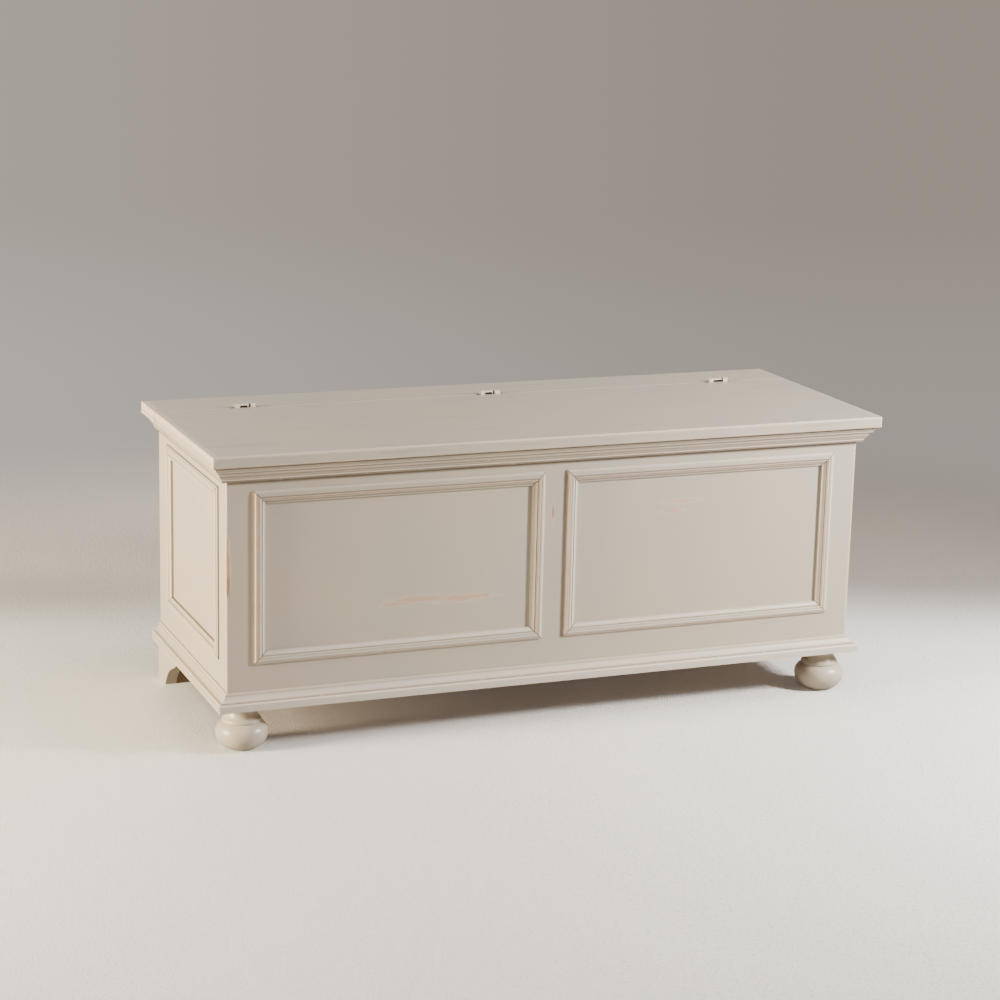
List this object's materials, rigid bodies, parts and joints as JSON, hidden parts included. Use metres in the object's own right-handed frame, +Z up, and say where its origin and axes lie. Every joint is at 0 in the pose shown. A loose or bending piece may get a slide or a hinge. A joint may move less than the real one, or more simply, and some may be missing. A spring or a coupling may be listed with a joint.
{
  "type": "storage chest",
  "caption": "Long low storage chest in painted wood with a hinged moulded lid, framed and panelled walls, turned front feet and scrolled bracket feet behind.",
  "frame": {"origin": "on the floor under the middle of the lid: centre of the bounding box in x and y, bottom in z", "axes": "+X to the right along the length, -Y out of the front, +Z up"},
  "size_m": [1.2, 0.467, 0.5095],
  "materials": {
    "painted_wood": "satin off-white paint, rubbed to the wood along the edges",
    "bare_wood": "plain sanded softwood",
    "hinge_metal": "pale plated steel",
    "screw_metal": "plated steel"
  },
  "bodies": {
    "case": {"back_board": "bare_wood", "ball_foot_left": "painted_wood", "ball_foot_right": "painted_wood", "base_moulding_front": "painted_wood", "base_moulding_left": "painted_wood", "base_moulding_right": "painted_wood", "cornice_end_left": "painted_wood", "cornice_end_right": "painted_wood", "floor_board": "bare_wood", "front_corner_block_left": "bare_wood", "front_corner_block_right": "bare_wood", "front_left_moulding_bottom": "painted_wood", "front_left_moulding_left": "painted_wood", "front_left_moulding_right": "painted_wood", "front_left_moulding_top": "painted_wood", "front_left_panel": "painted_wood", "front_muntin": "painted_wood", "front_rail_bottom": "painted_wood", "front_rail_top": "painted_wood", "front_right_moulding_bottom": "painted_wood", "front_right_moulding_left": "painted_wood", "front_right_moulding_right": "painted_wood", "front_right_moulding_top": "painted_wood", "front_right_panel": "painted_wood", "front_stile_left": "painted_wood", "front_stile_right": "painted_wood", "hinge_pins": "hinge_metal", "hinge_rail": "painted_wood", "hinge_rail_leaves": "hinge_metal", "hinge_rail_screws": "screw_metal", "left_side_front_stile": "painted_wood", "left_side_moulding_bottom": "painted_wood", "left_side_moulding_left": "painted_wood", "left_side_moulding_right": "painted_wood", "left_side_moulding_top": "painted_wood", "left_side_panel": "painted_wood", "left_side_rail_bottom": "painted_wood", "left_side_rail_top": "painted_wood", "left_side_rear_stile": "painted_wood", "rear_corner_block_left": "bare_wood", "rear_corner_block_right": "bare_wood", "rear_foot_left": "painted_wood", "rear_foot_right": "painted_wood", "right_side_front_stile": "painted_wood", "right_side_moulding_bottom": "painted_wood", "right_side_moulding_left": "painted_wood", "right_side_moulding_right": "painted_wood", "right_side_moulding_top": "painted_wood", "right_side_panel": "painted_wood", "right_side_rail_bottom": "painted_wood", "right_side_rail_top": "painted_wood", "right_side_rear_stile": "painted_wood"},
    "lid": {"lid_board": "painted_wood", "lid_cornice_front": "painted_wood", "lid_cornice_left": "painted_wood", "lid_cornice_right": "painted_wood", "hinge_lid_leaves": "hinge_metal", "hinge_lid_screws": "screw_metal"}
  },
  "joints": [
    {"name": "lid_hinge", "type": "hinge", "parent": "case", "child": "lid", "pos_m": [0, 0.13635, 0.50635], "axis": [-1, 0, 0], "range_deg": [0, 105]}
  ]
}
